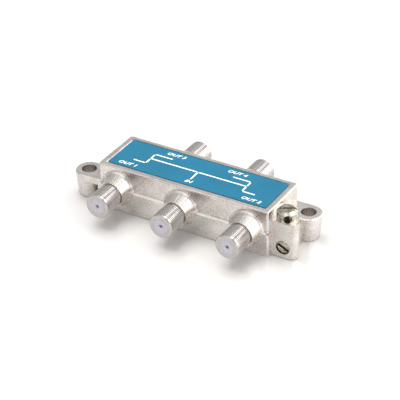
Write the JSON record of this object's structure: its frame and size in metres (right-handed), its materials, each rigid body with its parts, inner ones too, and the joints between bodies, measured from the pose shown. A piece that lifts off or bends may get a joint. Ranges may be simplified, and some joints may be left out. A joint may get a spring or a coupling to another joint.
{
  "type": "coaxial splitter",
  "caption": "Die-cast coaxial splitter: a flat box with threaded ports on two sides, two fixing ears and an earth terminal, dividing one cable signal between several.",
  "frame": {"origin": "middle of the box's underside, where it lies against a wall or a table", "axes": "+X along the box from the left ear to the right ear, +Y from the side with three ports to the side with two, +Z from the underside up to the label"},
  "size_m": [0.0973, 0.053, 0.0192],
  "materials": {
    "plated_zinc": "die-cast zinc under satin nickel plate",
    "label_film": "blue printed film with white marks",
    "tinned_steel": "bright tinned sheet steel",
    "board_laminate": "paper laminate board",
    "insulator_plastic": "pale moulded plastic",
    "spring_bronze": "tinned spring bronze",
    "ferrite": "dark grey ferrite",
    "copper_wire": "enamelled copper wire",
    "resistor_body": "black film on a ceramic chip",
    "capacitor_body": "tan ceramic chip",
    "terminal_brass": "dull nickel-plated brass"
  },
  "bodies": {
    "splitter": {"housing": "plated_zinc", "label": "label_film", "back_cover": "tinned_steel", "circuit_board": "board_laminate", "port_insulator_in": "insulator_plastic", "port_insulator_1": "insulator_plastic", "port_insulator_2": "insulator_plastic", "port_insulator_3": "insulator_plastic", "port_insulator_4": "insulator_plastic", "contact_in": "spring_bronze", "contact_1": "spring_bronze", "contact_2": "spring_bronze", "contact_3": "spring_bronze", "contact_4": "spring_bronze", "matching_core_1": "ferrite", "matching_core_2": "ferrite", "matching_core_3": "ferrite", "matching_winding_1": "copper_wire", "matching_winding_2": "copper_wire", "matching_winding_3": "copper_wire", "splitting_core_1": "ferrite", "splitting_core_2": "ferrite", "splitting_core_3": "ferrite", "splitting_winding_1": "copper_wire", "splitting_winding_2": "copper_wire", "splitting_winding_3": "copper_wire", "resistor_1": "resistor_body", "resistor_2": "resistor_body", "resistor_3": "resistor_body", "capacitor_1": "capacitor_body", "capacitor_2": "capacitor_body", "capacitor_3": "capacitor_body", "capacitor_4": "capacitor_body", "capacitor_5": "capacitor_body"},
    "post": {"earth_post": "terminal_brass"},
    "screw": {"earth_screw": "terminal_brass"}
  },
  "joints": [
    {"name": "post_lift", "type": "slide", "parent": "splitter", "child": "post", "axis": [0, 0, 1], "range_m": [0, 0.004]},
    {"name": "screw_back_out", "type": "slide", "parent": "splitter", "child": "screw", "axis": [0, -1, 0], "range_m": [0, 0.003]}
  ]
}
